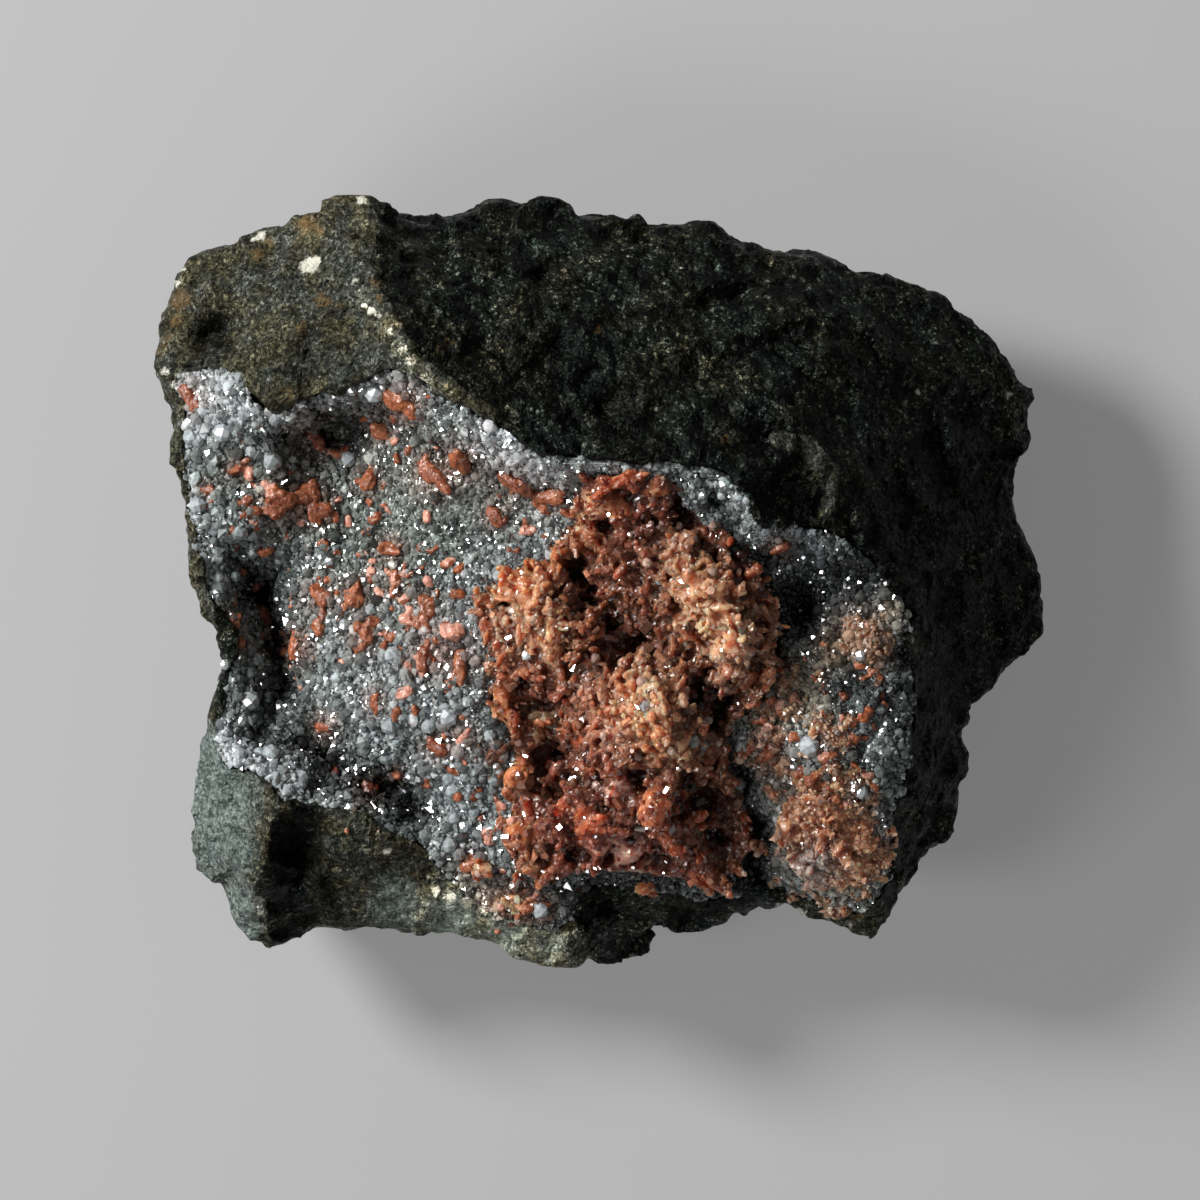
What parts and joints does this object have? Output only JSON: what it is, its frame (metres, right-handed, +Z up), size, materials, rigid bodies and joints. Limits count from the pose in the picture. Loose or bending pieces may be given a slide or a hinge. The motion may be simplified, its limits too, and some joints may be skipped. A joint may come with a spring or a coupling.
{
  "type": "mineral specimen",
  "caption": "Hand-sized piece of dark basalt, open on one side as a hollow lined with clear to white analcime crystals and red-orange gmelinite; rests on its broken back",
  "frame": {"origin": "middle of the object's box, on the resting surface", "axes": "+X to the right and +Y away from the viewer when the crystals are looked down on, +Z up from the broken back through the crystals"},
  "size_m": [0.0896, 0.0776, 0.0434],
  "materials": {
    "basalt": "rough broken rock",
    "analcime": "glassy crystals",
    "gmelinite": "translucent crystals"
  },
  "bodies": {
    "root": {"basalt_matrix": "basalt", "analcime_druse": "analcime", "gmelinite_cluster_centre": "gmelinite", "gmelinite_cluster_right": "gmelinite", "gmelinite_crystal_01": "gmelinite", "gmelinite_crystal_02": "gmelinite", "gmelinite_crystal_03": "gmelinite", "gmelinite_crystal_04": "gmelinite", "gmelinite_crystal_05": "gmelinite", "gmelinite_crystal_06": "gmelinite", "gmelinite_crystal_07": "gmelinite", "gmelinite_crystal_08": "gmelinite", "gmelinite_crystal_09": "gmelinite", "gmelinite_crystal_10": "gmelinite", "gmelinite_crystal_11": "gmelinite", "gmelinite_crystal_12": "gmelinite", "gmelinite_crystal_13": "gmelinite", "gmelinite_crystal_14": "gmelinite", "gmelinite_crystal_15": "gmelinite", "gmelinite_crystal_16": "gmelinite", "gmelinite_crystal_17": "gmelinite", "gmelinite_crystal_18": "gmelinite", "gmelinite_crystal_19": "gmelinite", "gmelinite_crystal_20": "gmelinite", "gmelinite_crystal_21": "gmelinite", "gmelinite_crystal_22": "gmelinite", "gmelinite_crystal_23": "gmelinite", "gmelinite_crystal_24": "gmelinite", "gmelinite_crystal_25": "gmelinite", "gmelinite_crystal_26": "gmelinite", "analcime_crystal_01": "analcime", "analcime_crystal_02": "analcime", "analcime_crystal_03": "analcime", "analcime_crystal_04": "analcime", "analcime_crystal_05": "analcime", "analcime_crystal_06": "analcime", "analcime_crystal_07": "analcime", "analcime_crystal_08": "analcime", "analcime_crystal_09": "analcime", "analcime_crystal_10": "analcime", "analcime_crystal_11": "analcime", "analcime_crystal_12": "analcime", "analcime_crystal_13": "analcime", "analcime_crystal_14": "analcime", "analcime_crystal_15": "analcime", "analcime_crystal_16": "analcime", "analcime_crystal_17": "analcime"}
  },
  "joints": []
}
